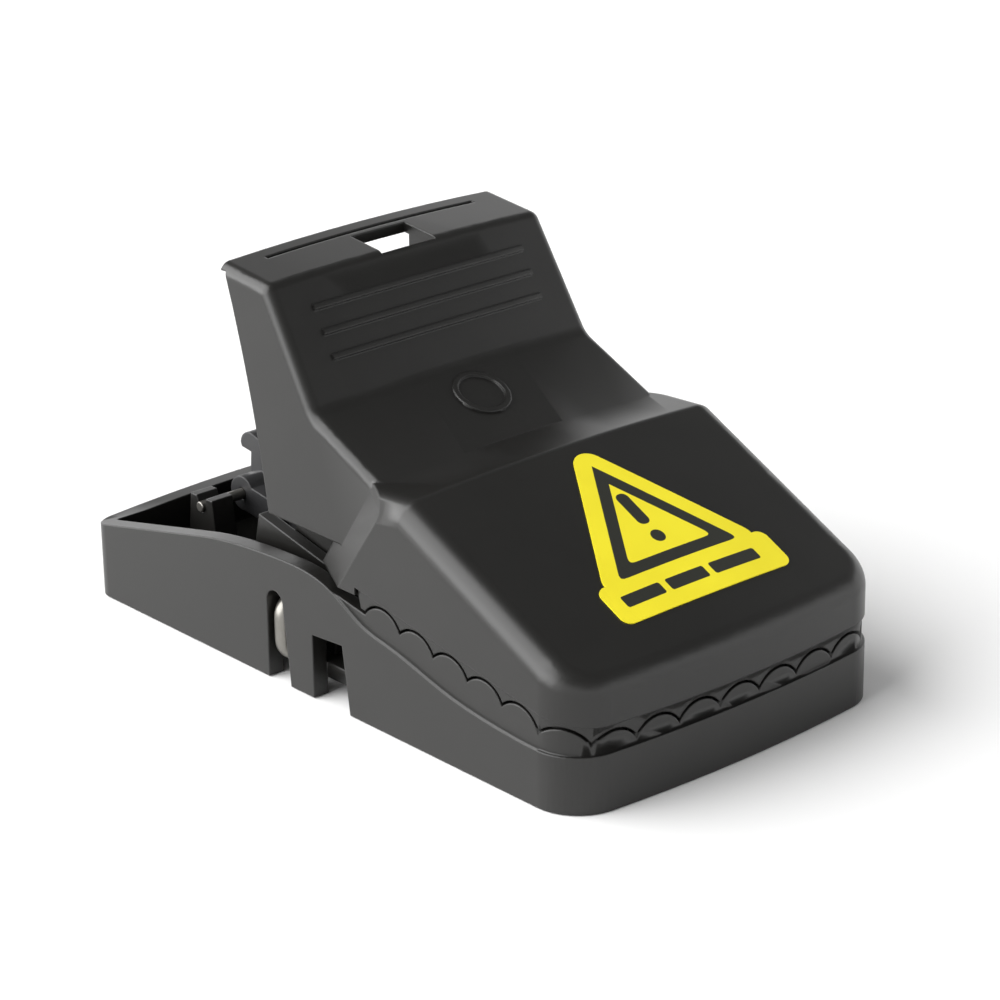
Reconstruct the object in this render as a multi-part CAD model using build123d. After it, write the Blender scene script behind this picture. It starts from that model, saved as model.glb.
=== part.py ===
from build123d import *
import os
from math import atan2, cos, degrees, pi, radians, sin, sqrt

# Clamshell snap trap, closed, standing on its base. Millimetres.
# +X runs from the tail to the mouth, +Z is up, and the origin is the middle
# of the base's footprint on the floor.

# ---- Overall sizes ----
LENGTH = 140.0          # base, tail to mouth
WIDTH = 77.0            # base, side to side
TAB_HEIGHT = 76.1       # floor to the middle of the press tab's top

# ---- Base (lower jaw) ----
WALL = 3.3              # side, front and tail walls
FRONT_BOW = 2.4         # how far the front wall bulges
FRONT_RADIUS = 9.6      # front corners in plan
TAIL_RADIUS = 4.2       # tail corners in plan
FRONT_RIM = 10.8        # height of the front wall's rim
TAIL_RIM = 14.3         # height of the side walls at the tail
TAIL_CROWN = 1.5        # rise of the tail wall's top at its middle
HUMP = 24.75            # height of the side walls over the hinge
FLOOR_LOW = 3.2         # underside of the raised floor
FLOOR_TOP = 6.2         # top of the raised floor
EAR = 2.5               # plates beside the springs that hold the axle

# ---- Hinge ----
HINGE_X = -12.6
HINGE_Z = 15.0
AXLE_R = 1.8            # steel wire of the hinge axle
AXLE_BEND = 3.0         # centre-line radius of its bends
AXLE_FOOT = 4.6         # height of the wire's bottom run
HELD_FIT = 0.05         # radial gap of a wire or pin that stays still
RUN_FIT = 0.08          # radial gap of a hole that turns on a pin

# ---- Teeth ----
PITCH = 9.6             # along the rim
TOOTH_RISE = 2.9        # rounded tooth above the line of the notches
TOOTH_FRONT = 11.5      # height of the line of the notches at the front wall
TOOTH_REAR = 21.2868    # its height at the first notch
TOOTH_START = 13.1      # first notch of the side teeth, along X
TOOTH_GAP = 0.5         # between lower and upper teeth
BAND_INSET = 0.6        # toothed band, in from the outer faces
BAND_RISE = 4.2         # hood's lower edge above the line of the notches

# ---- Upper jaw ----
SHELL = 2.0             # tab and cheeks
HOOD_SHELL = 2.4        # hood
CHEEK_GAP = 0.6         # cheek to the wall or ear beside it
SIDE_GAP = 0.5          # knuckle to the ear beside it
KNUCKLE = 3.0           # hinge plates inside the jaw
KNUCKLE_R = 5.4
BOSS_R = 4.4            # tube that carries a spring
CROWN_R = 600.0         # gentle arch of the top faces, side to side
TAB_DRAFT = 1.4         # tab narrows by this on each side, cheek to top
HOOD_EDGE = 4.8         # rounding of the hood's top edge
HOOD_RIDGE = 2.0        # rounding where the hood's long top starts
TAB_EDGE = 2.4          # rounding of the tab and of the slope
TAB_FOOT = 5.0          # inside rounding between the tab and the slope
TAB_BACK = -31.5        # rear edge of the tab's top, along X
TAB_TOP_SLOPE = -0.10   # the tab's top falls a little to the front
TAB_FACE_X = -15.9      # a point on the tab's front face
TAB_FACE_Z = 72.0
TAB_FACE_LEAN = 0.626   # the face leans back by this per mm of height
SLOPE_X = -4.4          # a point on the slope
SLOPE_Z = 53.6
SLOPE_FALL = 0.449
STEP_X = 13.8           # foot of the step up to the hood
STEP_Z = 45.6
STEP_RISE = 0.06        # the step's flat rises a little to the front
HOOD_X = 24.3           # rear edge of the hood's long top
HOOD_Z = 46.3
HOOD_FALL = 0.482
COLLAR_SLANT = 0.717    # the collar behind the hood leans forward by this per mm of height
COLLAR = 7.6            # length of the collar, along X
CHEEK_LOW = 30.5        # lower edge of the cheeks
HOOD_LOW = 24.4         # lower edge of the collar
JAW_SET = 68.0          # opening angle at which the trap is set, degrees

# ---- Details of the upper jaw ----
WINDOW_X0 = -26.5       # see-through window in the tab's top
WINDOW_X1 = -17.6
WINDOW_HALF = 6.5
WEB = 2.0               # plates on both sides of the window that carry the catch bar
CATCH_GAP = 0.25        # catch bar to the hook's nose as it passes
CATCH_THICK = 2.2
GROOVE_X = -28.2        # groove near the rear edge of the tab's top
GROOVE_HALF = 25.1
GROOVE_WIDE = 1.0
GROOVE_DEEP = 0.8
GRIP_TOP = 69.2         # height of the highest grip rib
GRIP_STEP = 4.1
GRIPS = 3
GRIP_HALF = 25.3
GRIP_WIDE = 1.1
RAISED = 0.5            # how far ribs and marks stand out
MARK_X = 2.2            # plain raised ring on the slope
MARK_R = 5.6

# ---- Main springs ----
WIRE_R = 1.2
COIL_R = 6.2            # centre line
COIL_PITCH = 2.7
TURNS = 4

# ---- Trigger ----
PIN_R = 1.1
PIN_FROM_TAIL = 10.5    # pin to the tail's outer face
PIN_Z = 15.6
BEAM_DROP = 5.4         # top of the trigger's beam, below the axle
HUB_HALF = 9.6          # half width of the trigger's hub
BEAM_HALF = 7.6         # half width of the trigger's beam
POST = 5.0              # thickness of a pin post
POST_GAP = 5.0          # hub to post
HOOK_HALF = 5.0         # half width of the hook
NOSE_BACK = 5.9         # hook's nose, behind the pin
NOSE_UP = 8.2           # and above it
PEDAL_THICK = 2.2
PEDAL_RIBS = 3
PEDAL_RIB_STEP = 3.0
PEDAL_SIDE = 8.0        # pedal to the wall beside it
PEDAL_FRONT = 10.0      # pedal to the front wall

# ---- Bait cup ----
CUP_R = 9.5
CUP_WALL = 1.4
CUP_TOP = 11.0
CUP_FROM_FRONT = 32.0   # cup's axis to the front of the base
CUP_GAP = 0.15          # cup to its hole in the floor
CUP_FLANGE = 2.5        # rim under the floor, beyond the cup's wall

# ---- Sticker ----
LABEL_THICK = 0.2
LABEL_X = 30.2          # tip of the printed triangle, along X
LABEL_Y = 1.4
LABEL_SIDE = 29.0       # side of the triangle
LABEL_EDGE = 3.4        # sticker's border round the triangle
LABEL_FOOT = 9.0        # length of the band below the triangle
LABEL_HALF = 20.4       # half width of that band

# ---- Worked out ----
HALF = WIDTH / 2
FRONT_X = LENGTH / 2
TAIL_X = -LENGTH / 2
INNER = HALF - WALL                     # inner face of the side walls
CHEEK = INNER - CHEEK_GAP               # outer face of the jaw's cheeks
EAR_OUT = CHEEK - SHELL - CHEEK_GAP
EAR_IN = EAR_OUT - EAR
KNUCKLE_OUT = EAR_IN - SIDE_GAP
KNUCKLE_IN = KNUCKLE_OUT - KNUCKLE
PIN_X = TAIL_X + PIN_FROM_TAIL
CUP_X = FRONT_X - CUP_FROM_FRONT
CORNER_X = FRONT_X - FRONT_BOW - FRONT_RADIUS
CORNER_Y = HALF - FRONT_RADIUS
FAR = 200.0
TOOTH_SLOPE = (TOOTH_REAR - TOOTH_FRONT) / (FRONT_X - TOOTH_START)


def notch_line(x):
    """Height of the line through the notches between the teeth."""
    return TOOTH_FRONT + TOOTH_SLOPE * (FRONT_X - x)


def prism_y(face, low, high):
    """Extrude a face drawn as (x, z) from y = low to y = high."""
    return extrude(Plane.XZ.offset(-low) * face, amount=high - low, dir=(0, 1, 0))


def prism_x(face, low, high):
    """Extrude a face drawn as (y, z) from x = low to x = high."""
    return extrude(Plane.YZ.offset(low) * face, amount=high - low, dir=(1, 0, 0))


def prism_z(face, low, high):
    """Extrude a face drawn as (x, y) from z = low to z = high."""
    return extrude(Plane.XY.offset(low) * face, amount=high - low, dir=(0, 0, 1))


def polygon(*points):
    return make_face(Polyline(*points, close=True))


def rod_y(x, z, radius, low, high):
    """Round bar along Y."""
    return prism_y(Pos(x, z) * Circle(radius), low, high)


def box(x0, x1, y0, y1, z0, z1):
    return Pos((x0 + x1) / 2, (y0 + y1) / 2, (z0 + z1) / 2) * Box(x1 - x0, y1 - y0, z1 - z0)


def both_sides(solid):
    """A solid and its mirror image across the middle plane."""
    return solid + mirror(solid, Plane.XZ)


def crowned(x, z, slope):
    """Everything under a surface that runs at a slope through (x, z) and arches from side to side."""
    run = Vector(1, 0, slope).normalized()
    up = Vector(-run.Z, 0, run.X)
    axis = Vector(x, 0, z) - up * CROWN_R
    return Plane(origin=axis, z_dir=run) * Cylinder(CROWN_R, 2 * FAR)


def footprint(inset=0.0):
    """The base seen from above: straight sides, round corners and a bowed front."""
    wire = [
        Line((FRONT_X - FRONT_BOW, HALF), (TAIL_X, HALF)),
        Line((TAIL_X, HALF), (TAIL_X, -HALF)),
        Line((TAIL_X, -HALF), (FRONT_X - FRONT_BOW, -HALF)),
        ThreePointArc((FRONT_X - FRONT_BOW, -HALF), (FRONT_X, 0), (FRONT_X - FRONT_BOW, HALF)),
    ]
    face = make_face(wire)
    face = fillet(face.vertices().group_by(Axis.X)[-1], FRONT_RADIUS)
    face = fillet(face.vertices().group_by(Axis.X)[0], TAIL_RADIUS)
    return offset(face, -inset) if inset else face


def tooth_places():
    """Middle of each tooth on the outer faces: x, y and the direction its face looks, in degrees."""
    places = [(FRONT_X, 0.0, 0.0)]
    for k in (1, 2, 3):
        places.append((FRONT_X, k * PITCH, 0.0))
    corner = degrees((4 * PITCH - CORNER_Y) / FRONT_RADIUS)
    places.append((CORNER_X + FRONT_RADIUS * cos(radians(corner)),
                   CORNER_Y + FRONT_RADIUS * sin(radians(corner)), corner))
    count = round((CORNER_X - TOOTH_START) / (PITCH * 0.98))
    step = (CORNER_X - TOOTH_START) / count
    for k in range(count):
        places.append((TOOTH_START + (k + 0.5) * step, HALF, 90.0))
    return places


def tooth_discs(grow):
    """Round bars across the rim, one a tooth, on both sides; grow widens them for the upper jaw."""
    radius = (PITCH ** 2 / 4 + TOOTH_RISE ** 2) / (2 * TOOTH_RISE)
    bars = []
    for x, y, turn in tooth_places():
        centre = notch_line(x) + TOOTH_RISE - radius
        for side in ((1,) if y == 0 else (1, -1)):
            look = Vector(cos(radians(turn)), side * sin(radians(turn)), 0)
            middle = Vector(x, side * y, centre) - look * (WALL / 2)
            bars.append(Plane(origin=middle, z_dir=look) * Cylinder(radius + grow, 3 * WALL))
    return bars


def rim_profile():
    """Side view of the base's outer wall: rising tail, hump over the hinge, long fall to the front."""
    tail = Line((TAIL_X - 1, TAIL_RIM - 0.2), (HINGE_X - 22, HUMP - 2.6))
    top = Spline(
        (HINGE_X - 22, HUMP - 2.6), (HINGE_X + 1, HUMP), (HINGE_X + 16.5, HUMP - 1.65),
        (TOOTH_START - 0.6, notch_line(TOOTH_START) - 2.5), (TOOTH_START + 7, notch_line(TOOTH_START) - 4.2),
        ((TOOTH_START + FRONT_X) / 2 - 5, FRONT_RIM + 2.2), (FRONT_X - 18, FRONT_RIM + 0.3),
        (FRONT_X + 1, FRONT_RIM),
        tangents=((1, 0.22), (1, 0)))
    rest = Polyline(top @ 1, (FRONT_X + 1, -1), (TAIL_X - 1, -1), tail @ 0)
    return make_face([tail, top, rest])


def slot_face():
    """Slot in the side wall for the axle's wire: open below, round at the top, wider at the foot."""
    left = HINGE_X - AXLE_R - 0.3
    right = HINGE_X + AXLE_R + 0.8
    top = HINGE_Z + 0.6
    arc = ThreePointArc((left, top), ((left + right) / 2, top + (right - left) / 2), (right, top))
    return make_face([arc, Polyline((right, top), (right + 1.8, -1), (left - 0.1, -1), (left, top))])


def notch_face():
    """Open notch between the leg beside the slot and the front part of the side wall."""
    x = HINGE_X + 11
    return polygon((x, -1), (x, 12.6), (x + 8.6, 13.2), (x + 10.5, -1))


def pin_post():
    """Post that holds one end of the trigger's pin in an open claw."""
    inside = HUB_HALF + POST_GAP
    back, front = PIN_X - 3.4, PIN_X + 3.4
    face = polygon((back - 1.5, FLOOR_TOP - 1), (back, PIN_Z + 2),
                   (front, PIN_Z + 2), (front + 1.5, FLOOR_TOP - 1))
    mouth = polygon((PIN_X - 0.8, PIN_Z), (PIN_X - 1.9, PIN_Z + 3),
                    (PIN_X + 1.9, PIN_Z + 3), (PIN_X + 0.8, PIN_Z))
    face = face - Pos(PIN_X, PIN_Z) * Circle(PIN_R + HELD_FIT) - mouth
    return prism_y(face, inside, inside + POST)


def ear():
    """Plate inside the side wall that carries the axle."""
    x = HINGE_X
    face = make_face([
        Polyline((x + 9, FLOOR_TOP - 1), (x - 17, FLOOR_TOP - 1), (x - 12, HUMP + 3.0), (x + 10, HUMP - 1.8)),
        RadiusArc((x + 10, HUMP - 1.8), (x + 13, HUMP - 6), 5),
        Line((x + 13, HUMP - 6), (x + 9, FLOOR_TOP - 1))])
    plate = prism_y(face, EAR_IN, EAR_OUT)
    return plate - rod_y(HINGE_X, HINGE_Z, AXLE_R + HELD_FIT, EAR_IN - 1, EAR_OUT + 1)


def floor_ribs():
    """Low cross ribs that stiffen the tail and the mouth."""
    ribs = []
    for x in (TAIL_X + 22, TAIL_X + 30):
        ribs.append(box(x, x + 1.6, BEAM_HALF + 3, INNER, FLOOR_TOP - 0.5, FLOOR_TOP + 0.9))
    return Compound(children=ribs)


def make_base():
    wall = prism_z(footprint(), 0, HUMP + 5) & prism_y(rim_profile(), -HALF - 1, HALF + 1)
    wall -= prism_z(footprint(WALL), FLOOR_TOP, HUMP + 6)
    wall -= prism_z(footprint(WALL), -1, FLOOR_LOW)
    arch = make_face([
        ThreePointArc((-HALF, TAIL_RIM), (0, TAIL_RIM + TAIL_CROWN), (HALF, TAIL_RIM)),
        Polyline((HALF, TAIL_RIM), (HALF, FLOOR_TOP - 1), (-HALF, FLOOR_TOP - 1), (-HALF, TAIL_RIM))])
    tail = prism_x(arch, TAIL_X, TAIL_X + WALL) & prism_z(footprint(), 0, HUMP)
    wall = wall + (tail - prism_z(footprint(WALL), FLOOR_TOP, HUMP))

    band = prism_z(footprint(BAND_INSET) - footprint(WALL), FLOOR_TOP, HUMP + 3)
    low = notch_line(HINGE_X + 16) - 0.2
    below = polygon((HINGE_X + 16, low), (FRONT_X + 1, notch_line(FRONT_X + 1) - 0.2),
                    (FRONT_X + 1, FLOOR_TOP), (HINGE_X + 16, FLOOR_TOP))
    toothed = Part() + tooth_discs(0) + prism_y(below, -HALF - 1, HALF + 1)
    base = wall + (band & toothed)

    base += both_sides(ear())
    base += both_sides(pin_post())
    base += both_sides(floor_ribs())

    base -= prism_y(slot_face(), INNER - 0.1, HALF + 1) + prism_y(slot_face(), -HALF - 1, -INNER + 0.1)
    base -= prism_y(notch_face(), INNER, HALF + 1) + prism_y(notch_face(), -HALF - 1, -INNER)
    reach = AXLE_R + 0.4
    foot = box(HINGE_X - reach, HINGE_X + reach, EAR_IN - 1.5, HALF + 1, -1, AXLE_FOOT + reach)
    base -= both_sides(foot)
    groove = box(PIN_X + 4, HINGE_X + 26, -BEAM_HALF - 0.8, BEAM_HALF + 0.8, FLOOR_LOW + 1.2, FLOOR_TOP + 1)
    base -= groove
    base -= Pos(CUP_X, 0, FLOOR_TOP) * Cylinder(CUP_R + CUP_GAP, 20)
    return base


def make_hinge_axle():
    """Steel wire: straight through the hinge, down both side slots and turned in below."""
    reach = HALF - AXLE_R - 0.35
    foot_y = EAR_IN + 1
    points = [(-foot_y, AXLE_FOOT), (-reach, AXLE_FOOT), (-reach, HINGE_Z),
              (reach, HINGE_Z), (reach, AXLE_FOOT), (foot_y, AXLE_FOOT)]
    path = Plane.YZ.offset(HINGE_X) * FilletPolyline(*points, radius=AXLE_BEND)
    section = Plane(origin=path @ 0, z_dir=path % 0) * Circle(AXLE_R)
    return sweep(section, path=path)


def make_main_spring(side):
    """Torsion spring: a leg along the floor, close turns round its boss and a leg up inside the tab."""
    outer = KNUCKLE_IN - WIRE_R - 0.4
    inner = outer - TURNS * COIL_PITCH - COIL_PITCH / 4
    low, high = radians(-88), radians(7)
    turns = TURNS + degrees(high - low) / 360
    steps = 12
    points = []
    count = round(turns * steps)
    for k in range(count + 1):
        turn = low + (high - low + TURNS * 2 * pi) * k / count
        along = outer + (inner - outer) * k / count
        points.append((HINGE_X + COIL_R * cos(turn), side * along, HINGE_Z + COIL_R * sin(turn)))
    coil = Spline(*points)
    start, end = coil % 0, coil % 1
    floor_leg = Line(coil @ 0 - start * 30, coil @ 0)
    tab_leg = Line(coil @ 1, coil @ 1 + end * 44)
    path = Wire([floor_leg, coil, tab_leg])
    section = Plane(origin=path @ 0, z_dir=path % 0) * Circle(WIRE_R)
    return sweep(section, path=path, is_frenet=False)


def make_trigger():
    """Treadle lever: hub on the pin, hook above it, beam under the hinge and a pedal round the bait cup."""
    hub = rod_y(PIN_X, PIN_Z, 3.6, -HUB_HALF, HUB_HALF)
    low = FLOOR_TOP - 1.3
    top = HINGE_Z - AXLE_R - BEAM_DROP
    body = make_face([
        Line((PIN_X, PIN_Z + 2.4), (PIN_X + 8, PIN_Z + 1.2)),
        Spline((PIN_X + 8, PIN_Z + 1.2), (PIN_X + 22, top + 1.8), (PIN_X + 34, top),
               tangents=((1, -0.15), (1, 0))),
        Polyline((PIN_X + 34, top), (HINGE_X + 18, top), (HINGE_X + 22, FLOOR_TOP + 0.6 + PEDAL_THICK),
                 (HINGE_X + 28, FLOOR_TOP + 0.6 + PEDAL_THICK), (HINGE_X + 28, FLOOR_TOP + 0.6),
                 (HINGE_X + 22, FLOOR_TOP + 0.6), (HINGE_X + 18, low), (PIN_X + 9, low),
                 (PIN_X - 2, PIN_Z - 3.0), (PIN_X, PIN_Z + 2.4))])
    beam = prism_y(body, -BEAM_HALF, BEAM_HALF)
    shoulder = polygon((PIN_X, PIN_Z + 2.4), (PIN_X + 8, PIN_Z + 1.2), (PIN_X + 12, PIN_Z - 1),
                       (PIN_X + 12, PIN_Z - 5), (PIN_X, PIN_Z - 3.4))
    lever = hub + beam + prism_y(shoulder, -HUB_HALF, HUB_HALF)
    lever += prism_y(hook_face(), -HOOK_HALF, HOOK_HALF)

    front = FRONT_X - PEDAL_FRONT
    half = INNER - PEDAL_SIDE
    plate = RectangleRounded(front - HINGE_X - 21, 2 * half, 9)
    hole = Pos(CUP_X, 0) * Circle(CUP_R + 2.2)
    plate = Pos((front + HINGE_X + 21) / 2, 0) * plate - hole
    pedal = prism_z(plate, FLOOR_TOP + 0.6, FLOOR_TOP + 0.6 + PEDAL_THICK)
    for k in range(PEDAL_RIBS):
        x = HINGE_X + 25 + k * PEDAL_RIB_STEP
        pedal += box(x, x + 1.2, -half + 5, half - 5, FLOOR_TOP + PEDAL_THICK, FLOOR_TOP + PEDAL_THICK + 1.3)
    pedal -= Pos(CUP_X, 0, FLOOR_TOP) * Cylinder(CUP_R + 2.2, 20)
    lever += pedal
    return lever - rod_y(PIN_X, PIN_Z, PIN_R + RUN_FIT, -HUB_HALF - 1, HUB_HALF + 1)


def hook_face():
    """Side view of the hook: an arm above the pin with a rounded nose that points to the tail."""
    x, z = PIN_X, PIN_Z
    nose = (x - NOSE_BACK, z + NOSE_UP)
    crest = (x - 2.2, z + NOSE_UP + 2.6)
    return make_face([
        Polyline((x - 3.2, z), (x - 2.6, z + NOSE_UP - 1.3), (x - NOSE_BACK + 0.3, z + NOSE_UP - 0.9), nose),
        ThreePointArc(nose, (x - 4.9, z + NOSE_UP + 1.9), crest),
        Polyline(crest, (x + 0.6, z + NOSE_UP + 1.8), (x + 0.6, z + NOSE_UP - 1),
                 (x + 3.2, z), (x - 3.2, z))])


def make_trigger_pin():
    half = HUB_HALF + POST_GAP + POST
    return fillet(rod_y(PIN_X, PIN_Z, PIN_R, -half - 0.6, half + 0.6).edges().filter_by(GeomType.CIRCLE), 0.3)


def make_bait_cup():
    """Cup pushed up through the floor from below, with a rim under the floor and a finger bar."""
    outer = Cylinder(CUP_R, CUP_TOP - FLOOR_LOW + 1, align=(Align.CENTER, Align.CENTER, Align.MAX))
    cup = Pos(CUP_X, 0, CUP_TOP) * outer
    cup += Pos(CUP_X, 0, FLOOR_LOW - CUP_GAP - 0.8) * Cylinder(CUP_R + CUP_FLANGE, 1.6)
    hollow = Cylinder(CUP_R - CUP_WALL, CUP_TOP, align=(Align.CENTER, Align.CENTER, Align.MIN))
    cup -= Pos(CUP_X, 0, FLOOR_LOW) * hollow
    grip = box(CUP_X - CUP_R + 1, CUP_X + CUP_R - 1, -0.8, 0.8, 0.4, FLOOR_LOW - 1)
    rim = cup.edges().filter_by(GeomType.CIRCLE).group_by(Axis.Z)[-1]
    return fillet(rim, 0.4) + grip


def face_line(z):
    """X of the tab's front face at a height, on the middle plane."""
    return TAB_FACE_X - TAB_FACE_LEAN * (z - TAB_FACE_Z)


def slope_line(x):
    """Height of the slope at x, on the middle plane."""
    return SLOPE_Z - SLOPE_FALL * (x - SLOPE_X)


def tab_line(x):
    """Height of the tab's top at x, on the middle plane."""
    return TAB_HEIGHT + TAB_TOP_SLOPE * (x - TAB_BACK)


def tail_edge():
    """Rear edge of the cheeks, from under the tab's top down to their lower edge."""
    top = (TAB_BACK + 1.4, TAB_HEIGHT - 2.2)
    middle = (TAB_BACK + 8.6, TAB_HEIGHT - 24.7)
    low = (HINGE_X - 5.6, CHEEK_LOW)
    return ThreePointArc(top, middle, low)


def behind_face(lift):
    """Everything behind the tab's arched front face, moved out by lift."""
    along = Vector(-TAB_FACE_LEAN, 0, 1).normalized()
    axis = Vector(TAB_FACE_X, 0, TAB_FACE_Z) - Vector(along.Z, 0, -along.X) * (CROWN_R - lift)
    return Plane(origin=axis, z_dir=along) * Cylinder(CROWN_R, 2 * FAR)


def tapered(half_low, half_high, low, high):
    """Everything between two sides that lean in towards the top."""
    lean = (half_low - half_high) / (high - low)
    foot = half_low + lean * low
    head = foot - lean * FAR / 2
    face = polygon((-foot, 0), (foot, 0), (head, FAR / 2), (-head, FAR / 2))
    return prism_x(face, -FAR / 2, FAR / 2)


def tab_and_slope(inset):
    """Narrow rear half of the jaw: the press tab and the slope in front of it."""
    edge = tail_edge()
    back = TAB_BACK - (10 if inset else 0)
    side = [edge]
    if inset:
        side = [Polyline(edge @ 0, (edge @ 0) + Vector(-10, 0), (edge @ 1) + Vector(-10, 0), edge @ 1)]
    low = CHEEK_LOW - (10 if inset else 0)
    tab = make_face(side + [
        Polyline(edge @ 1, (HINGE_X - 5.6, low), (8, low), (8, TAB_HEIGHT + 2), (back, TAB_HEIGHT + 2),
                 (back, TAB_HEIGHT - 2.2), edge @ 0)])
    tab_solid = prism_y(tab, -HALF, HALF)
    tab_solid &= crowned(TAB_BACK, TAB_HEIGHT - inset, TAB_TOP_SLOPE)
    tab_solid &= behind_face(-inset)
    slope = make_face([edge, Polyline(edge @ 1, (HINGE_X - 5.6, low), (STEP_X + 12, low),
                                      (STEP_X + 12, TAB_HEIGHT), edge @ 0)])
    slope_solid = prism_y(slope, -HALF, HALF) & crowned(SLOPE_X, SLOPE_Z - inset * 1.1, -SLOPE_FALL)
    half = CHEEK - inset
    return (tab_solid + slope_solid) & tapered(half, half - TAB_DRAFT, CHEEK_LOW, TAB_HEIGHT)


def collar_planes(inset):
    """Planes of the collar's slanting sides, from the cheeks out to the hood."""
    planes = []
    for side in (1, -1):
        narrow = side * (CHEEK - inset)
        wide = side * (HALF - 0.1 - inset)
        foot = Vector(STEP_X + inset, narrow, STEP_Z)
        head = Vector(STEP_X + inset + 10 * COLLAR_SLANT, narrow, STEP_Z + 10)
        out = Vector(STEP_X + inset + COLLAR, wide, STEP_Z)
        normal = (head - foot).cross(out - foot)
        planes.append(Plane(origin=foot, z_dir=normal if normal.Y * side > 0 else normal * -1))
    return planes


def across(solid, x, z):
    """Edges that run from side to side with their middle near (x, z)."""
    def near(edge):
        middle = edge.center()
        return abs(middle.X - x) < 1.6 and abs(middle.Z - z) < 1.6 and edge.length > HALF / 2

    return solid.edges().filter_by(near)


def rounded_top(block, radius):
    """Round the edges of the block's arched top, all but the one at its tail end."""
    top = max(block.faces().filter_by(GeomType.CYLINDER), key=lambda face: face.area)
    return fillet(top.edges().filter_by(lambda edge: edge.center().X > HINGE_X - 9), radius)


def hood(inset):
    """Wide front half of the jaw above the teeth, before its collar is cut."""
    block = prism_z(footprint(inset + 0.1), FLOOR_TOP, TAB_HEIGHT) & box(HINGE_X - 10, FAR, -FAR, FAR, 0, FAR)
    radius = max(HOOD_EDGE - inset, 0.8)
    long_top = rounded_top(block & crowned(HOOD_X, HOOD_Z - inset * 1.1, -HOOD_FALL), radius)
    flat_top = rounded_top(block & crowned(HOOD_X, HOOD_Z - inset, STEP_RISE), radius)
    solid = long_top & flat_top
    if inset:
        return solid
    return fillet(max(across(solid, HOOD_X, HOOD_Z), key=lambda edge: edge.length), HOOD_RIDGE)


def hood_cut(solid, inset):
    """Trim the hood to its slanting collar and to its edge above the teeth."""
    def collar(z):
        return STEP_X + inset + COLLAR_SLANT * (z - STEP_Z)
    back = 0 if inset else 4
    if inset:
        corner = [(collar(0), 0), (FRONT_X + 2, 0)]
    else:
        x = HINGE_X + 23.6
        corner = [(collar(HOOD_LOW) - back, HOOD_LOW), (x, HOOD_LOW), (x, notch_line(x) + BAND_RISE),
                  (FRONT_X + 2, notch_line(FRONT_X + 2) + BAND_RISE)]
    side = polygon(*corner, (FRONT_X + 2, TAB_HEIGHT), (collar(TAB_HEIGHT) - back, TAB_HEIGHT))
    solid &= prism_y(side, -HALF, HALF)
    for plane in collar_planes(inset):
        solid = split(solid, bisect_by=plane, keep=Keep.BOTTOM)
    return solid


def upper_band():
    """Toothed band under the hood: everything above the lower teeth, up to the hood's edge."""
    ring = prism_z(footprint(BAND_INSET + 0.1) - footprint(WALL - 0.2), FLOOR_TOP, HUMP + 8)
    x = TOOTH_START - 1.2
    lift = TOOTH_GAP * 0.9
    end = FRONT_X + 1
    side = polygon((x - 0.9, notch_line(x) + BAND_RISE + 0.4), (end, notch_line(end) + BAND_RISE + 0.4),
                   (end, notch_line(end) + lift), (x, notch_line(x) + lift))
    return (ring & prism_y(side, -HALF - 1, HALF + 1)) - (Part() + tooth_discs(TOOTH_GAP))


def knuckle():
    """Hinge plate inside the jaw with the tube that carries a spring."""
    radius = KNUCKLE_R
    top = SLOPE_Z + 6
    plate = make_face([
        Polyline((HINGE_X + radius, HINGE_Z), (HINGE_X + 17, slope_line(HINGE_X + 17) - 1.8),
                 (SLOPE_X - 1.2, SLOPE_Z - 1.4), (face_line(top) - 1.5, top), (HINGE_X - 3, top),
                 (HINGE_X - radius, HINGE_Z)),
        ThreePointArc((HINGE_X - radius, HINGE_Z), (HINGE_X, HINGE_Z - radius), (HINGE_X + radius, HINGE_Z))])
    solid = prism_y(plate, KNUCKLE_IN, KNUCKLE_OUT)
    boss_in = KNUCKLE_IN - (TURNS + 0.5) * COIL_PITCH - 2 * WIRE_R
    return solid + rod_y(HINGE_X, HINGE_Z, BOSS_R, boss_in, KNUCKLE_IN)


def rounded_tab():
    """Outer shape of the tab and the slope with its rounded edges."""
    solid = tab_and_slope(0)
    solid = fillet(across(solid, SLOPE_X, SLOPE_Z - 0.2), TAB_FOOT)
    top = TAB_HEIGHT - 1.5
    solid = fillet(across(solid, face_line(top), top), TAB_EDGE)
    rear = tail_edge() @ 0.5

    def on_outline(edge):
        middle = edge.center()
        beside = abs(middle.Y) > CHEEK - TAB_DRAFT - 1.5
        ahead = TAB_BACK + 3.5 < middle.X < STEP_X + 11
        clear_of_rear = (Vector(middle.X, middle.Z) - rear).length > 8
        return beside and ahead and clear_of_rear and middle.Z > CHEEK_LOW + 2

    return fillet(solid.edges().filter_by(on_outline), TAB_EDGE)


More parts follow.
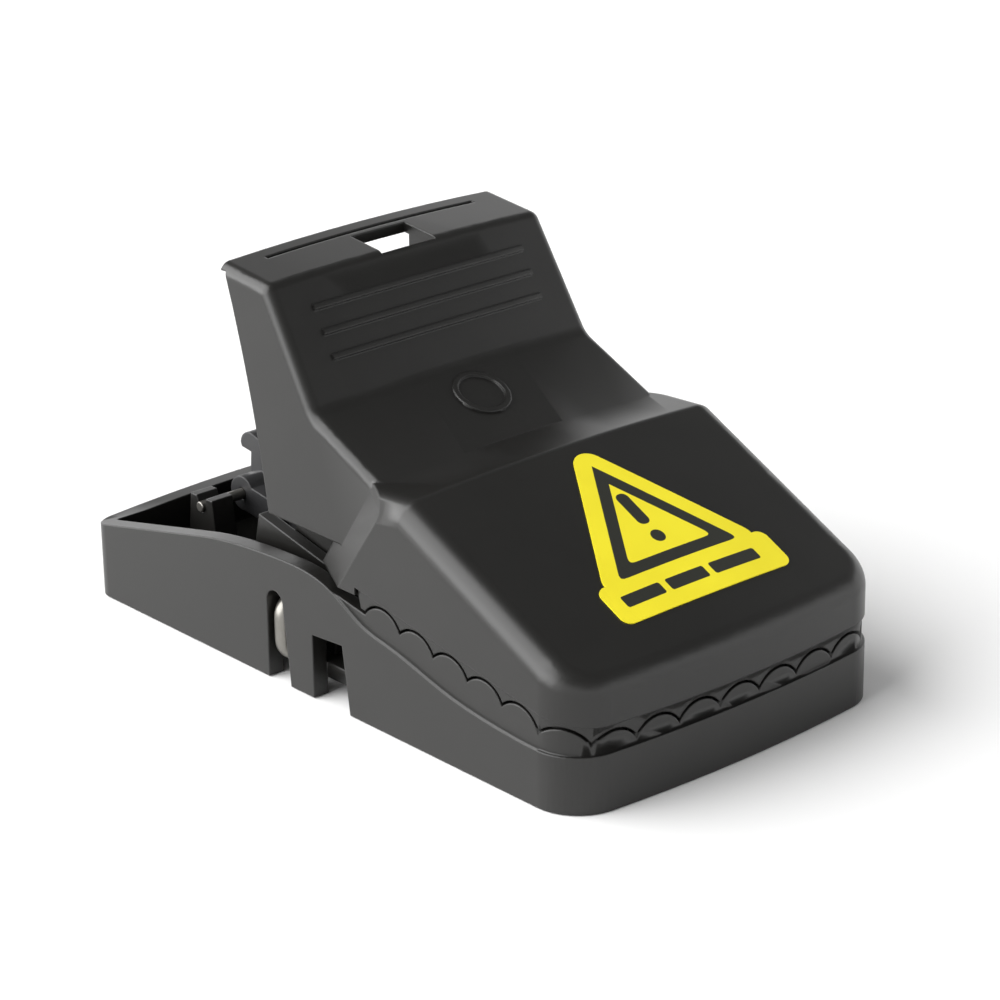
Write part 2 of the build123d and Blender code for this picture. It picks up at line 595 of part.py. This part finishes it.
def catch_bar():
    """Bar that the hook holds, and the plates beside the window that carry it."""
    nose = sqrt((HINGE_X - PIN_X + NOSE_BACK) ** 2 + (PIN_Z + NOSE_UP - HINGE_Z) ** 2)
    near_side = nose + CATCH_GAP
    top = PIN_Z + NOSE_UP - 2.0 - HINGE_Z
    start = degrees(atan2(top, -sqrt(near_side ** 2 - top ** 2))) - JAW_SET
    turn = degrees(CATCH_THICK / near_side)

    def place(radius, angle):
        return (HINGE_X + radius * cos(radians(angle)), HINGE_Z + radius * sin(radians(angle)))

    far_side = near_side + CATCH_THICK
    bar = polygon(place(near_side, start), place(far_side, start),
                  place(far_side, start + turn), place(near_side, start + turn))
    foot = place(near_side - 1.6, start + turn)
    rear = WINDOW_X0 + 1.2
    front = WINDOW_X1 - 2.4
    low = foot[1] - 1.5
    web = polygon((rear, tab_line(rear) - 1), (rear, TAB_HEIGHT - 5), place(far_side, start - 0.6),
                  place(far_side, start + turn), foot, (foot[0] + 4, low), (face_line(low) - 1.4, low),
                  (face_line(TAB_HEIGHT - 4) - 1.4, TAB_HEIGHT - 4), (front, tab_line(front) - 1))
    webs = both_sides(prism_y(web, WINDOW_HALF, WINDOW_HALF + WEB))
    return prism_y(bar, -WINDOW_HALF - 0.5, WINDOW_HALF + 0.5) + webs


def cheek_plate():
    """Lower part of the cheek that closes the gap behind the hood."""
    face = polygon((STEP_X - 6.8, CHEEK_LOW + 2), (STEP_X - 10.8, HOOD_LOW - 2.4),
                   (STEP_X - 8.8, HINGE_Z - 1), (STEP_X, HINGE_Z + 1), (STEP_X + 6, CHEEK_LOW + 2))
    return prism_y(face, CHEEK - SHELL, CHEEK)


def tab_details():
    """Grip ribs on the tab's face and a plain ring on the slope, both raised a little."""
    out = Vector(1, 0, TAB_FACE_LEAN)
    ribs = Part()
    for k in range(GRIPS):
        height = GRIP_TOP - k * GRIP_STEP
        middle = Vector(face_line(height), 0, height)
        bar = Plane(origin=middle, x_dir=(0, 1, 0), z_dir=out) * Box(2 * GRIP_HALF, GRIP_WIDE, 3)
        ribs += bar & behind_face(RAISED)
    plane = Plane(origin=(MARK_X, 0, slope_line(MARK_X)), z_dir=(SLOPE_FALL, 0, 1))
    ring = plane * (Cylinder(MARK_R, 2.4) - Cylinder(MARK_R - 1.1, 3))
    ring &= crowned(SLOPE_X, SLOPE_Z + RAISED * sqrt(1 + SLOPE_FALL ** 2), -SLOPE_FALL)
    return ribs + ring


def make_upper_jaw():
    outer = rounded_tab() + tab_details() + hood_cut(hood(0), 0)
    inner = tab_and_slope(SHELL) + hood_cut(hood(HOOD_SHELL), HOOD_SHELL)
    jaw = outer - inner
    jaw += both_sides(knuckle())
    jaw += catch_bar()
    jaw += both_sides(cheek_plate())
    jaw += upper_band()
    jaw -= box(WINDOW_X0, WINDOW_X1, -WINDOW_HALF, WINDOW_HALF, TAB_HEIGHT - 6, TAB_HEIGHT + 2)
    groove = box(GROOVE_X - GROOVE_WIDE / 2, GROOVE_X + GROOVE_WIDE / 2, -GROOVE_HALF, GROOVE_HALF,
                 TAB_HEIGHT - 6, TAB_HEIGHT + 2)
    jaw -= groove - crowned(TAB_BACK, TAB_HEIGHT - GROOVE_DEEP, TAB_TOP_SLOPE)
    return jaw - rod_y(HINGE_X, HINGE_Z, AXLE_R + RUN_FIT, -KNUCKLE_OUT - 1, KNUCKLE_OUT + 1)


def make_sticker():
    """Thin sticker on the hood: a triangle with a band below it."""
    height = LABEL_SIDE * sqrt(3) / 2
    triangle = polygon((0, 0), (height, -LABEL_SIDE / 2), (height, LABEL_SIDE / 2))
    outline = offset(triangle, LABEL_EDGE)
    foot = RectangleRounded(LABEL_FOOT, 2 * LABEL_HALF, 2)
    outline += Pos(height + LABEL_FOOT / 2, 0) * foot
    tip = Vector(LABEL_X, LABEL_Y, HOOD_Z - HOOD_FALL * (LABEL_X - HOOD_X))
    plane = Plane(origin=tip, x_dir=(1, 0, -HOOD_FALL), z_dir=(HOOD_FALL, 0, 1))
    block = extrude(plane * outline, amount=3, dir=plane.z_dir, both=True)
    rise = LABEL_THICK * sqrt(1 + HOOD_FALL ** 2)
    return (block & crowned(HOOD_X, HOOD_Z + rise, -HOOD_FALL)) - crowned(HOOD_X, HOOD_Z, -HOOD_FALL)


nodes = {
    "base": make_base(),
    "upper_jaw": make_upper_jaw(),
    "hinge_axle": make_hinge_axle(),
    "main_spring_left": make_main_spring(1),
    "main_spring_right": make_main_spring(-1),
    "trigger": make_trigger(),
    "trigger_pin": make_trigger_pin(),
    "bait_cup": make_bait_cup(),
    "sticker": make_sticker(),
}
os.makedirs("parts", exist_ok=True)
for name, solid in nodes.items():
    export_step(solid, "parts/" + name + ".step")
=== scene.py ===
# %% [markdown]
# # A clamshell snap trap
# The real trap is two black injection-moulded shells that shut like a mouth, two torsion springs on a
# steel wire, a small lever that lets go, a bait cup and a printed sticker. The working shapes come from
# the CAD frame, which this file loads first. Everything here is about how those shapes look: smooth
# moulded surfaces, drawn wire, printed film, and a plain studio round them.

# %% Load the frame
from math import cos, radians, sin, sqrt

import bmesh
import bpy
import numpy as np
from mathutils import Matrix, Vector


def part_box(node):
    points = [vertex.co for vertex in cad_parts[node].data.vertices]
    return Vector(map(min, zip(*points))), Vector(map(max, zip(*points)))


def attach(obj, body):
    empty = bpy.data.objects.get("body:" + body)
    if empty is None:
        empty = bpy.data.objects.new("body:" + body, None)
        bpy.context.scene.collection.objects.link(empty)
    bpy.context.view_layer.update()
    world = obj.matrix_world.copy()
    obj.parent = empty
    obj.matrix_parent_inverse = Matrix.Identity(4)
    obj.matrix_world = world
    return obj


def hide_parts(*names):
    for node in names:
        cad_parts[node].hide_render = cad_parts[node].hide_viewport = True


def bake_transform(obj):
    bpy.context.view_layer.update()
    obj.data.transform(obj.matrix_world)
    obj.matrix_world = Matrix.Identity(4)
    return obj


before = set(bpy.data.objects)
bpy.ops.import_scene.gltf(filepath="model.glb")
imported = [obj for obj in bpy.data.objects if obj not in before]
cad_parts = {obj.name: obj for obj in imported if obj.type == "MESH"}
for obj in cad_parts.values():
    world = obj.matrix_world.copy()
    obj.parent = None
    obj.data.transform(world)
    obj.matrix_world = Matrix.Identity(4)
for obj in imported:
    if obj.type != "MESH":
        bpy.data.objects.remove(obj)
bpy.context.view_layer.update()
MM = 0.001
print("nodes", sorted(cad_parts))

# %% [markdown]
# ## A short way to write shader maths
# A material is a graph of nodes. It could be wired by hand, one node at a time, but a formula such as
# "rough = 0.4 + 0.1 * noise" is then spread over many lines. A small class that wraps a socket lets the
# formula be written as Python arithmetic, and each operator adds its Math node.

# %% Shader maths


class Flow:
    """A socket inside a material. Arithmetic on it adds Math nodes; node() adds any other node."""

    def __init__(self, tree, socket=None):
        self.tree = tree
        self.socket = socket

    def node(self, kind, settings=None, inputs=None, output=0):
        """Add a node: its settings first, then a value or a link for each socket. Gives one output."""
        made = self.tree.nodes.new(kind)
        for name, value in (settings or {}).items():
            setattr(made, name, value)
        for name, value in (inputs or {}).items():
            if isinstance(value, Flow):
                self.tree.links.new(value.socket, made.inputs[name])
            else:
                made.inputs[name].default_value = value
        return Flow(self.tree, made.outputs[output])

    def math(self, operation, *values):
        return self.node("ShaderNodeMath", {"operation": operation}, dict(enumerate(values)))

    def __add__(self, other):
        return self.math("ADD", self, other)

    def __radd__(self, other):
        return self.math("ADD", other, self)

    def __sub__(self, other):
        return self.math("SUBTRACT", self, other)

    def __rsub__(self, other):
        return self.math("SUBTRACT", other, self)

    def __mul__(self, other):
        return self.math("MULTIPLY", self, other)

    def __rmul__(self, other):
        return self.math("MULTIPLY", other, self)

    def __abs__(self):
        return self.math("ABSOLUTE", self)

    def top(self, other):
        return self.math("MAXIMUM", self, other)

    def inside(self, soft):
        """1 where a signed distance is below 0, 0 where it is above, over an edge of the given width."""
        return self.node("ShaderNodeMapRange", {"clamp": True},
                         {"Value": self, "From Min": soft, "From Max": -soft, "To Min": 0.0, "To Max": 1.0})

    def mixed(self, low, high):
        """A colour between low and high, by this value."""
        return self.node("ShaderNodeMix", {"data_type": "RGBA"}, {0: self, 6: low, 7: high}, 2)


def new_material(name):
    """An empty material with its shader, and a Flow to build on."""
    material = bpy.data.materials.new(name)
    material.use_nodes = True
    tree = material.node_tree
    shader = tree.nodes["Principled BSDF"]
    return material, shader, Flow(tree)


def feed(shader, **sockets):
    """Set or link the shader's sockets, named with underscores for spaces."""
    for name, value in sockets.items():
        socket = shader.inputs[name.replace("_", " ")]
        if isinstance(value, Flow):
            value.tree.links.new(value.socket, socket)
        else:
            socket.default_value = value


def place_on(flow):
    """Object coordinates, in metres."""
    return flow.node("ShaderNodeTexCoord", output=3)


def noise(flow, place, size, detail=2.0):
    """Soft noise whose blobs are about size metres wide."""
    return flow.node("ShaderNodeTexNoise", None, {"Vector": place, "Scale": 1 / size, "Detail": detail})


print("shader helpers ready")

# %% [markdown]
# ## Black moulded plastic
# The shells are polypropylene or ABS with carbon black in it, and the mould was spark-eroded, so the skin
# is satin: a fine even grain, slow changes in gloss where the plastic cooled unevenly, and edges that are
# never quite sharp. Flat black paint would look dead. Here noise of three sizes moves the gloss and the
# height, a Bevel node rounds the light along the edges, and the colour stays almost the same everywhere.

# %% The plastic
EDGE_ROUND = 0.5 * MM
GRAIN = 0.35 * MM
CLOUDS = 4.5 * MM
SINKS = 18 * MM


def moulded_plastic(name, tone, rough):
    """Satin plastic: colour and gloss drift slowly, the skin has a fine grain, and edges catch light."""
    material, shader, flow = new_material(name)
    place = place_on(flow)
    slow = noise(flow, place, SINKS, 1.0)
    cloud = noise(flow, place, CLOUDS, 3.0)
    fine = noise(flow, place, GRAIN)
    dark = (*(0.82 * part for part in tone), 1)
    light = (*(1.2 * part for part in tone), 1)
    colour = (slow * 0.6 + cloud * 0.4).mixed(dark, light)
    gloss = rough - 0.06 + slow * 0.07 + cloud * 0.03 + fine * 0.03
    rounded = flow.node("ShaderNodeBevel", {"samples": 6}, {"Radius": EDGE_ROUND})
    ripple = flow.node("ShaderNodeBump", None,
                       {"Strength": 0.05, "Distance": 0.0006, "Height": slow, "Normal": rounded})
    skin = flow.node("ShaderNodeBump", None,
                     {"Strength": 0.10, "Distance": 0.00006, "Height": fine, "Normal": ripple})
    feed(shader, Base_Color=colour, Roughness=gloss, Normal=skin, IOR=1.5)
    return material


shell_black = moulded_plastic("shell_black", (0.0086, 0.0083, 0.0075), 0.34)
lever_black = moulded_plastic("lever_black", (0.016, 0.016, 0.017), 0.46)
print("plastics", shell_black.name, lever_black.name)

# %% [markdown]
# ## Smooth skins on the moulded shells
# A CAD export is loose triangles, so every facet of a rounding would show. Rebuilding the shells by hand
# would risk their fit. A copy of each mesh with its points merged is enough: the normals then run
# smoothly over the roundings and break only where two faces really meet at an edge. A large flat face
# should stay flat up to its rim, so each normal is weighted by the area of the faces round it.

# %% Smooth copies of the moulded pieces
SMOOTH_ANGLE = radians(20)
FLAT_ANGLE = radians(0.4)
MOULDED = {"base": ("base", shell_black), "upper_jaw": ("jaw", shell_black),
           "trigger": ("trigger", lever_black), "bait_cup": ("cup", lever_black)}


def smooth_copy(node, name):
    """The node's mesh with its points merged, smooth but for its real edges."""
    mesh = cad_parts[node].data.copy()
    mesh.name = name
    mesh.materials.clear()
    work = bmesh.new()
    work.from_mesh(mesh)
    bmesh.ops.remove_doubles(work, verts=work.verts, dist=1e-6)
    bmesh.ops.dissolve_limit(work, angle_limit=FLAT_ANGLE, verts=work.verts, edges=work.edges)
    work.to_mesh(mesh)
    work.free()
    mesh.shade_smooth()
    mesh.set_sharp_from_angle(angle=SMOOTH_ANGLE)
    piece = bpy.data.objects.new(name, mesh)
    bpy.context.scene.collection.objects.link(piece)
    even = piece.modifiers.new("even_normals", "WEIGHTED_NORMAL")
    even.mode = "FACE_AREA_WITH_ANGLE"
    even.keep_sharp = True
    return piece


for node, (body, material) in MOULDED.items():
    piece = smooth_copy(node, node + "_skin")
    piece.data.materials.append(material)
    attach(piece, body)
    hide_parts(node)
    print(piece.name, len(piece.data.vertices), "points", len(piece.data.polygons), "faces")

# %% [markdown]
# ## Drawn steel wire
# The hinge wire, the pin and the springs are drawn and zinc-plated steel. Drawing leaves fine lines, and
# the plating is a little cloudy. The lines run along the wire, but at this size they read as a soft
# speckle in the gloss, so noise in the roughness and a shallow bump are enough.

# %% The steels


def drawn_steel(name, tone, rough):
    """Plated wire: cloudy gloss, small pits and a slightly warm tone."""
    material, shader, flow = new_material(name)
    place = place_on(flow)
    cloud = noise(flow, place, 0.0035, 3.0)
    pits = noise(flow, place, 0.00025, 2.0)
    dark = (0.7 * tone[0], 0.69 * tone[1], 0.66 * tone[2], 1)
    colour = cloud.mixed(dark, (*tone, 1))
    bump = flow.node("ShaderNodeBump", None, {"Strength": 0.25, "Distance": 0.00004, "Height": pits})
    feed(shader, Base_Color=colour, Metallic=1.0, Roughness=rough + cloud * 0.14 + pits * 0.05, Normal=bump)
    return material


wire_steel = drawn_steel("wire_steel", (0.27, 0.262, 0.245), 0.30)
spring_steel = drawn_steel("spring_steel", (0.24, 0.235, 0.225), 0.33)
for node in ("hinge_axle", "trigger_pin"):
    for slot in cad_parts[node].material_slots:
        slot.material = wire_steel
    print(node, "is", wire_steel.name)

# %% [markdown]
# ## Torsion springs
# Each spring is one length of wire: a leg on the floor, four turns and a bit, and a leg up inside the
# tab. A curve object with a round bevel would do, but its twist is hard to control. The wire here is a
# surface: the angle round the section and the place along the wire give every point. When the jaw opens
# the coil winds up, but this wire is drawn in one pose only.

# %% The springs
AXLE_R = 1.8 * MM
WIRE_R = 1.2 * MM
COIL_R = 6.2 * MM
TURN_LOW = radians(-88)
TURN_HIGH = radians(7 + 4 * 360)
COIL_OUT = 24.4 * MM
COIL_IN = 12.925 * MM
FLOOR_LEG = 30 * MM
TAB_LEG = 44 * MM
END_ROUND = 0.35 * MM
COIL_STEPS = 273
axle_low, axle_high = (np.array(corner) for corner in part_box("hinge_axle"))
hinge_x = (axle_low[0] + axle_high[0]) / 2
hinge_z = axle_high[2] - AXLE_R


def spring_line(side):
    """Middle of the wire as points, and the unit vector from the coil's axis at each of them.

    The coil's angle grows evenly while it moves evenly along Y. Before and after, the line goes
    straight on along the coil's own tangent, and the vector stays as it was.
    """
    turn = np.linspace(TURN_LOW, TURN_HIGH, COIL_STEPS)
    share = (turn - TURN_LOW) / (TURN_HIGH - TURN_LOW)
    away = np.stack([np.cos(turn), np.zeros_like(turn), np.sin(turn)], axis=1)
    along = side * (COIL_OUT + (COIL_IN - COIL_OUT) * share)
    coil = np.array([hinge_x, 0, hinge_z]) + COIL_R * away
    coil[:, 1] = along
    rate = side * (COIL_IN - COIL_OUT) / (TURN_HIGH - TURN_LOW)
    tangent = np.stack([-COIL_R * np.sin(turn), np.full_like(turn, rate), COIL_R * np.cos(turn)], axis=1)
    tangent /= np.linalg.norm(tangent, axis=1)[:, None]
    tip = END_ROUND * (1 - np.cos(np.linspace(0.15, np.pi / 2, 5)))
    back = np.concatenate([FLOOR_LEG - tip, np.linspace(FLOOR_LEG - 1 * MM, 1 * MM, 12)])
    ahead = np.concatenate([np.linspace(1 * MM, TAB_LEG - 1 * MM, 16), (TAB_LEG - tip)[::-1]])
    first = coil[0] - back[:, None] * tangent[0]
    last = coil[-1] + ahead[:, None] * tangent[-1]
    points = np.concatenate([first, coil, last])
    outward = np.concatenate([np.repeat(away[:1], len(first), 0), away, np.repeat(away[-1:], len(last), 0)])
    return points, outward


def wire_surface(name, points, outward, radius, around=16):
    """A closed round wire: at each point of the line a ring of the section's radius, in the plane across
    the line, and a rounded end where the ring shrinks as a quarter circle does."""
    tangent = np.gradient(points, axis=0)
    tangent /= np.linalg.norm(tangent, axis=1)[:, None]
    normal = outward - tangent * np.sum(outward * tangent, axis=1)[:, None]
    normal /= np.linalg.norm(normal, axis=1)[:, None]
    other = np.cross(tangent, normal)
    step = np.linalg.norm(np.diff(points, axis=0), axis=1)
    from_start = np.concatenate([[0], np.cumsum(step)]) + 0.05 * END_ROUND
    from_end = from_start[-1] + 0.05 * END_ROUND - from_start
    near_end = np.clip(np.minimum(from_start, from_end) / END_ROUND, 0.02, 1)
    ring = radius - END_ROUND * (1 - np.sqrt(1 - (1 - near_end) ** 2))
    angle = np.linspace(0, 2 * np.pi, around, endpoint=False)
    section = (np.cos(angle)[None, :, None] * normal[:, None, :]
               + np.sin(angle)[None, :, None] * other[:, None, :])
    grid = points[:, None, :] + ring[:, None, None] * section
    count = len(points)
    index = np.arange(count * around).reshape(count, around)
    right = np.roll(index, -1, axis=1)
    quads = np.stack([index[:-1], right[:-1], right[1:], index[1:]], axis=-1).reshape(-1, 4)
    mesh = bpy.data.meshes.new(name)
    mesh.from_pydata(grid.reshape(-1, 3), [], quads.tolist() + [index[0][::-1].tolist(), index[-1].tolist()])
    mesh.shade_smooth()
    piece = bpy.data.objects.new(name, mesh)
    bpy.context.scene.collection.objects.link(piece)
    return piece


for side, hand in ((1, "left"), (-1, "right")):
    points, outward = spring_line(side)
    spring = wire_surface("spring_" + hand, points, outward, WIRE_R)
    spring.data.materials.append(spring_steel)
    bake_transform(spring)
    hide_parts("main_spring_" + hand)
    length = np.linalg.norm(np.diff(points, axis=0), axis=1).sum()
    print(spring.name, "wire length, mm", round(float(length) / MM))

# %% [markdown]
# ## The printed sticker
# The sticker is yellow film with a black print: a warning triangle with a plain bar and dot in it, and a
# row of plain bars where a real one has words. The print could be a painted image, but this file draws
# it from distances instead: each shape is a formula for how far a point is from its edge, and the ink
# lies where that distance is below zero. Rounded corners come from a smooth maximum.

# %% The print
LABEL_TIP = Vector((30.2 * MM, 1.4 * MM, 0))
HOOD_FALL = 0.482
ALONG = sqrt(1 + HOOD_FALL ** 2)
LABEL_SIDE = 29 * MM
OUTLINE = 2.5 * MM
INK_EDGE = 0.04 * MM
CORNER_ROUND = 2.2 * MM
MARK_BAR = ((11.8 * MM, 0), (4.0 * MM, 1.35 * MM), 1.2 * MM)
MARK_DOT = ((19.0 * MM, 0), (1.45 * MM, 1.45 * MM), 1.44 * MM)
BELOW_TRIANGLE = 4.4 * MM
LOW_BARS = ((-12.6 * MM, 4.6 * MM), (-2.0 * MM, 4.6 * MM), (9.6 * MM, 5.6 * MM))
LOW_BAR_HALF = 1.35 * MM


def bar(u, v, centre, half, corner):
    """Distance from a bar with rounded corners: outside its core box, less the corner's radius."""
    down = (abs(u - centre[0]) - (half[0] - corner)).top(0.0)
    sideways = (abs(v - centre[1]) - (half[1] - corner)).top(0.0)
    square = down * down + sideways * sideways
    return square.math("SQRT", square) - corner


def label_print():
    """Yellow film with black ink, and a soft gloss that the ink dulls a little."""
    material, shader, flow = new_material("sticker_print")
    place = place_on(flow)
    apart = flow.node("ShaderNodeSeparateXYZ", None, {0: place})
    sideways = Flow(flow.tree, apart.socket.node.outputs[1])
    u = (apart - LABEL_TIP.x) * ALONG
    v = sideways - LABEL_TIP.y
    height = LABEL_SIDE * sqrt(3) / 2
    slanted = abs(v) * cos(radians(30)) - u * sin(radians(30))
    triangle = slanted.math("SMOOTH_MAX", slanted, u - height, CORNER_ROUND)
    band = abs(triangle + OUTLINE / 2) - OUTLINE / 2
    ink = band.inside(INK_EDGE)
    ink = ink.top(bar(u, v, *MARK_BAR).inside(INK_EDGE))
    ink = ink.top(bar(u, v, *MARK_DOT).inside(INK_EDGE))
    for centre, half in LOW_BARS:
        line = bar(u, v, (height + BELOW_TRIANGLE, centre), (LOW_BAR_HALF, half), 0.5 * MM)
        ink = ink.top(line.inside(INK_EDGE))
    slow = noise(flow, place, 0.012, 2.0)
    fine = noise(flow, place, 0.0003, 2.0)
    film = slow.mixed((0.78, 0.66, 0.018, 1), (0.90, 0.79, 0.024, 1))
    colour = ink.mixed(film, (0.016, 0.017, 0.012, 1))
    bump = flow.node("ShaderNodeBump", None, {"Strength": 0.08, "Distance": 0.00005, "Height": fine})
    feed(shader, Base_Color=colour, Roughness=0.36 + ink * 0.06 + slow * 0.06, Normal=bump)
    return material


sticker_print = label_print()
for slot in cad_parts["sticker"].material_slots:
    slot.material = sticker_print

# %% [markdown]
# ## The studio
# The trap stands on a white sweep. The shot needs an even pale floor, one broad soft light from the
# camera's left and a bright horizon that the satin tops can mirror, with a darker ceiling that keeps
# them black. A sun with a wide disc gives light of the same strength all over the floor, which a lamp
# near the object would not.

# %% Floor and light
FLOOR_R = 6.0
# Heights in the sky are the sine of the elevation: white below SKY_LOW, dark above SKY_HIGH.
SKY_LOW = 0.32
SKY_HIGH = 0.50
SKY_WHITE = (1.45, 1.45, 1.45, 1)
SKY_DARK = (0.22, 0.22, 0.22, 1)


def make_floor():
    """A flat white disc, far larger than the view."""
    mesh = bpy.data.meshes.new("floor")
    work = bmesh.new()
    bmesh.ops.create_circle(work, cap_ends=True, radius=FLOOR_R, segments=96)
    work.to_mesh(mesh)
    work.free()
    floor = bpy.data.objects.new("floor", mesh)
    bpy.context.scene.collection.objects.link(floor)
    floor.location.z = -0.0002
    material, shader, flow = new_material("paper_white")
    place = place_on(flow)
    tone = noise(flow, place, 0.4, 1.0).mixed((0.86, 0.86, 0.86, 1), (0.875, 0.875, 0.87, 1))
    feed(shader, Base_Color=tone, Roughness=0.8, Specular_IOR_Level=0.2)
    mesh.materials.append(material)


def sun(name, azimuth, elevation, strength, disc):
    """A distant light that stands at that azimuth and elevation, with a disc of that many degrees."""
    lamp = bpy.data.lights.new(name, "SUN")
    lamp.energy = strength
    lamp.angle = radians(disc)
    holder = bpy.data.objects.new(name, lamp)
    up, turn = radians(elevation), radians(azimuth)
    toward = Vector((cos(up) * cos(turn), cos(up) * sin(turn), sin(up)))
    holder.rotation_euler = toward.to_track_quat("Z", "Y").to_euler()
    bpy.context.scene.collection.objects.link(holder)


def make_sky():
    """White near the horizon and grey overhead, as in a studio with a white sweep and a dark ceiling."""
    world = bpy.data.worlds.new("studio")
    bpy.context.scene.world = world
    world.use_nodes = True
    flow = Flow(world.node_tree)
    place = flow.node("ShaderNodeTexCoord", output=0)
    height = flow.node("ShaderNodeSeparateXYZ", None, {0: place}, 2)
    ramp = flow.node("ShaderNodeMapRange", {"interpolation_type": "SMOOTHSTEP"},
                     {"Value": height, "From Min": SKY_LOW, "From Max": SKY_HIGH,
                      "To Min": 0.0, "To Max": 1.0})
    colour = ramp.mixed(SKY_WHITE, SKY_DARK)
    background = world.node_tree.nodes["Background"]
    world.node_tree.links.new(colour.socket, background.inputs["Color"])


# The standard view keeps the floor white and the sticker's yellow full at the same time.
bpy.context.scene.view_settings.view_transform = "Standard"
make_floor()
make_sky()
sun("key", 236, 28, 6.4, 84)
print("floor radius", FLOOR_R)

# %% [markdown]
# ## The camera
# A long lens, a little above the table, keeps the sides nearly parallel. A camera could be aimed with a
# constraint, but a matrix says exactly where it looks: azimuth round the object, elevation above the
# floor and a slight roll.

# %% The camera
AZIMUTH = radians(48.67)
ELEVATION = radians(21.84)
ROLL = radians(-0.88)
LENS = 123.7
CAMERA_AT = (0.4493, -0.3891, 0.2669)


def make_camera():
    """Columns of the camera's matrix: to the right, up, and back from where it looks."""
    forward = Vector((-sin(AZIMUTH) * cos(ELEVATION), cos(AZIMUTH) * cos(ELEVATION), -sin(ELEVATION)))
    right = forward.cross(Vector((0, 0, 1))).normalized()
    up = right.cross(forward)
    tilted = cos(ROLL) * right + sin(ROLL) * up
    above = cos(ROLL) * up - sin(ROLL) * right
    turn = Matrix((tilted, above, -forward)).transposed().to_4x4()
    lens = bpy.data.cameras.new("camera")
    lens.lens = LENS
    lens.sensor_width = 36
    lens.clip_start = 0.01
    lens.clip_end = 50
    camera = bpy.data.objects.new("camera", lens)
    bpy.context.scene.collection.objects.link(camera)
    camera.matrix_world = Matrix.Translation(CAMERA_AT) @ turn
    bpy.context.scene.camera = camera
    return camera


print("camera at", [round(v, 3) for v in make_camera().matrix_world.translation])

# %% [markdown]
# ## The last update
# The view layer is brought up to date once more, so every piece stands where it was put.

# %% Update the view layer
bpy.context.view_layer.update()
